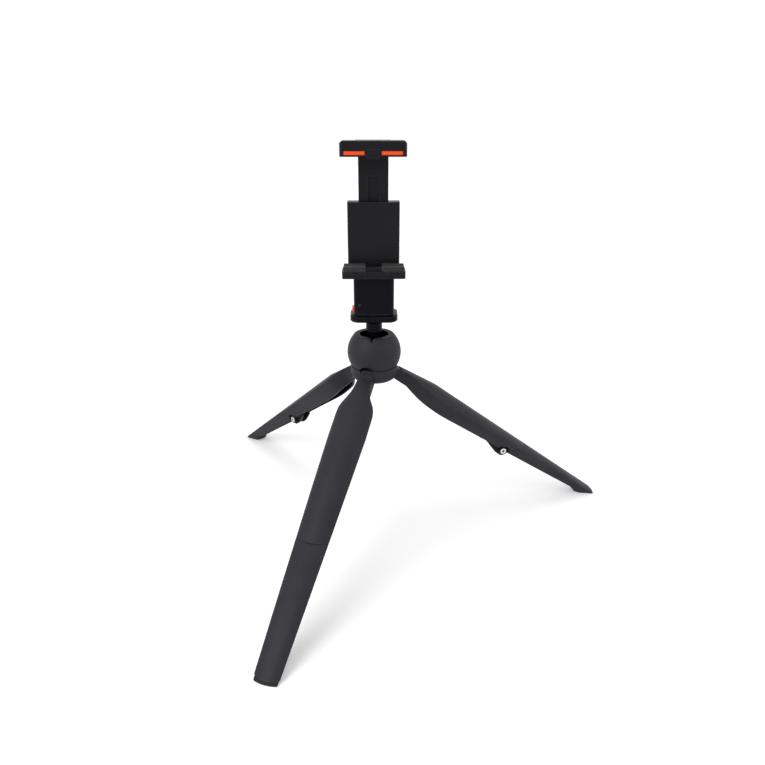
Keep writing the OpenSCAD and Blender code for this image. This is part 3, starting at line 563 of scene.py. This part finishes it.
# Four screws with crowned heads and star sockets in the back cover
def addCoverScrews():
    look, axis = coverScrew, Vector((0, 1, 0))
    low, high = (Vector(corner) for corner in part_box("cover_screws"))
    sheet = bmesh.new()
    for x in (low.x + look["head"] * mm, high.x - look["head"] * mm):
        for z in (low.z + look["head"] * mm, high.z - look["head"] * mm):
            end = startDisc(sheet, Vector((x, low.y, z)), axis, look["shank"], look["sides"])
            end = grow(sheet, end, axis, up=look["length"], first=True)
            end = grow(sheet, end, axis, scale=look["head"] / look["shank"])
            end = grow(sheet, end, axis, up=look["height"])
            end = grow(sheet, end, axis, up=look["crown"], scale=look["crowned"])
            end = grow(sheet, end, axis, scale=look["socket"] / look["head"] / look["crowned"])
            middle = end.calc_center_median()
            for point in end.verts:
                arm = point.co - middle
                lobe = look["lobeDepth"] * math.cos(look["lobes"] * math.atan2(arm.z, arm.x))
                point.co = middle + arm * (1 + lobe)
            grow(sheet, end, axis, up=-look["socketDepth"], scale=look["socketTaper"])
    screws = addPiece("coverScrewsDriven", sheet, "clamp", "steel", "darkSteel")
    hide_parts("cover_screws")


leverCoil = {"wire": 0.25, "turns": 4.0, "stepsPerTurn": 24, "sides": 10}  # wire is its radius in millimetres


def addLeverCoil():
    look = leverCoil
    low, high = (Vector(corner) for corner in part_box("lever_spring"))
    middle = (low + high) / 2
    wire = look["wire"] * mm
    start = Vector((low.x + wire, middle.y, middle.z))
    steps = int(look["turns"] * look["stepsPerTurn"])
    sheet = bmesh.new()
    wireStart = Matrix.Translation(start + Vector((0, 0, high.z - middle.z - wire)))
    bmesh.ops.create_circle(sheet, cap_ends=False, segments=look["sides"], radius=wire,
                            matrix=wireStart @ Matrix.Rotation(math.radians(90), 4, "X"))
    bmesh.ops.spin(sheet, geom=sheet.verts[:] + sheet.edges[:], cent=start, axis=(1, 0, 0),
                   dvec=((high.x - low.x - 2 * wire) / steps, 0, 0), angle=look["turns"] * math.tau,
                   steps=steps, use_merge=False, use_duplicate=False)
    bmesh.ops.holes_fill(sheet, edges=[edge for edge in sheet.edges if edge.is_boundary], sides=0)
    coil = addPiece("leverCoil", sheet, "clamp", "steel")
    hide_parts("lever_spring")


gripRibs = {  # millimetres
    "radius": 0.3, "count": 4, "sides": 12, "round": 0.14,
    "gap": 5.9, "inset": 0.8,  # inner end of a pad, and how far a rib stops short of its ends
    "dip": 1.0, "back": 1.7,  # depth of the valley, and its distance from the back edge
}


# A rounded rod, about half sunk in the face it stands on
def addRod(sheet, start, end, radius, sides, roundOff):
    axis = (end - start).normalized()
    disc = startDisc(sheet, start, axis, radius, sides)
    rim = list(disc.edges)
    tip = grow(sheet, disc, axis, up=(end - start).length / mm, first=True)
    bevelAll(sheet, rim + list(tip.edges), roundOff)


# Ribs along the floor of the valley in each pad, for grip
def addGripRibs(name, node, body, slotName, upward):
    look = gripRibs
    low, high = (Vector(corner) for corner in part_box(node))
    floor = high.z - look["dip"] * mm if upward else low.z + look["dip"] * mm
    first = (low.y + high.y) / 2 + look["radius"] * mm
    last = high.y - look["back"] * mm
    inner, outer = (look["gap"] + look["inset"]) * mm, high.x - look["inset"] * mm
    sheet = bmesh.new()
    for k in range(look["count"]):
        y = first + (last - first) * k / (look["count"] - 1)
        for side in (-1, 1):
            addRod(sheet, Vector((side * inner, y, floor)), Vector((side * outer, y, floor)),
                   look["radius"], look["sides"], look["round"])
    addPiece(name, sheet, body, slotName)


coverRibs = {  # millimetres
    "count": 6, "step": 2.6, "from": 9.5, "half": 9.0,
    "radius": 0.45, "sides": 14, "round": 0.2, "sink": 0.12,
}


# Thumb ribs low on the back cover
def addCoverRibs():
    look = coverRibs
    low, high = (Vector(corner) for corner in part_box("sleeve_cover"))
    sheet = bmesh.new()
    for k in range(look["count"]):
        place = Vector((0, high.y - look["sink"] * mm, low.z + (look["from"] + k * look["step"]) * mm))
        half = Vector((look["half"] * mm, 0, 0))
        addRod(sheet, place - half, place + half, look["radius"], look["sides"], look["round"])
    addPiece("coverRibs", sheet, "clamp", "charcoal")


buttonRidges = {  # millimetres
    "count": 3, "step": 1.9, "middle": -3.5, "up": 1.5,
    "length": 2.0, "radius": 0.24, "sides": 12, "round": 0.1,
}


# Upright ridges on the release button, for the fingertip
def addButtonRidges():
    look = buttonRidges
    low = Vector(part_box("release_lever")[0])
    sheet = bmesh.new()
    for k in range(look["count"]):
        y = (look["middle"] + (k - (look["count"] - 1) / 2) * look["step"]) * mm
        place = Vector((low.x, y, low.z + look["up"] * mm))
        half = Vector((0, 0, look["length"] / 2 * mm))
        addRod(sheet, place - half, place + half, look["radius"], look["sides"], look["round"])
    addPiece("buttonRidges", sheet, "lever", "orange_plastic")


kneeCap = {  # millimetres; From and To lie along the pin, from the middle of the knee; eyeCrowned is a share
    "sides": 40, "bossFrom": 4.5, "bossTo": 6.9, "boss": 3.7, "bossRound": 0.35,
    "headFrom": 6.8, "headTo": 7.3, "head": 2.55, "headRound": 0.15,
    "eye": 1.0, "eyeDepth": 0.35, "eyeGap": 0.02, "eyeSink": 0.1, "eyeRise": 0.2,
    "eyeCrown": 0.05, "eyeCrowned": 0.6,
}


# Cheek of the knuckle, steel head of the pin and a black disc in its hollow that paints the shade there, on both
# sides of each knee
def addKneeCaps():
    look = kneeCap
    for joint in frame["joints"]:
        if not joint["name"].startswith("knee_fold"):
            continue
        leg = joint["name"].split("_")[-1]
        cheeks, heads, hollowShades = bmesh.new(), bmesh.new(), bmesh.new()
        for side in (-1, 1):
            axis = Vector(joint["axis"]).normalized() * side
            middle = Vector(joint["pos_m"])
            end = startDisc(cheeks, middle + axis * look["bossFrom"] * mm, axis, look["boss"], look["sides"])
            end = grow(cheeks, end, axis, up=look["bossTo"] - look["bossFrom"], first=True)
            bevelAll(cheeks, list(end.edges), look["bossRound"])
            end = startDisc(heads, middle + axis * look["headFrom"] * mm, axis, look["head"], look["sides"])
            end = grow(heads, end, axis, up=look["headTo"] - look["headFrom"], first=True)
            rim = list(end.edges)
            end = grow(heads, end, axis, scale=look["eye"] / look["head"])
            grow(heads, end, axis, up=-look["eyeDepth"])
            bevelAll(heads, rim, look["headRound"])
            # The black disc sunk in the pin head paints the shade of its hollow
            eyeFrom = look["headTo"] - look["eyeDepth"] - look["eyeSink"]
            eyeRadius = look["eye"] - look["eyeGap"]
            end = startDisc(hollowShades, middle + axis * eyeFrom * mm, axis, eyeRadius, look["sides"])
            end = grow(hollowShades, end, axis, up=look["eyeRise"], first=True)
            grow(hollowShades, end, axis, up=look["eyeCrown"], scale=look["eyeCrowned"])
        addPiece(f"kneeCheeks_{leg}", cheeks, f"leg_{leg}", "black_plastic")
        addPiece(f"pinHeads_{leg}", heads, f"leg_{leg}", "steel")
        addPiece(f"pinHollowShade_{leg}", hollowShades, f"leg_{leg}", "steel", "black_metal")


addCoverScrews()
addLeverCoil()
addGripRibs("lowerPadRibs", "lower_pads", "clamp", "warm_rubber", True)
addGripRibs("upperPadRibs", "upper_pads", "slider", "orange_rubber", False)
addCoverRibs()
addButtonRidges()
addKneeCaps()
print("stage 5: screws, coil, ribs and knee caps made")

addCamera()
addLamps()
addSky()
addFloor()
bpy.context.scene.view_settings.view_transform = "Standard"
print("stage 6: camera, lamps, sky and floor placed")
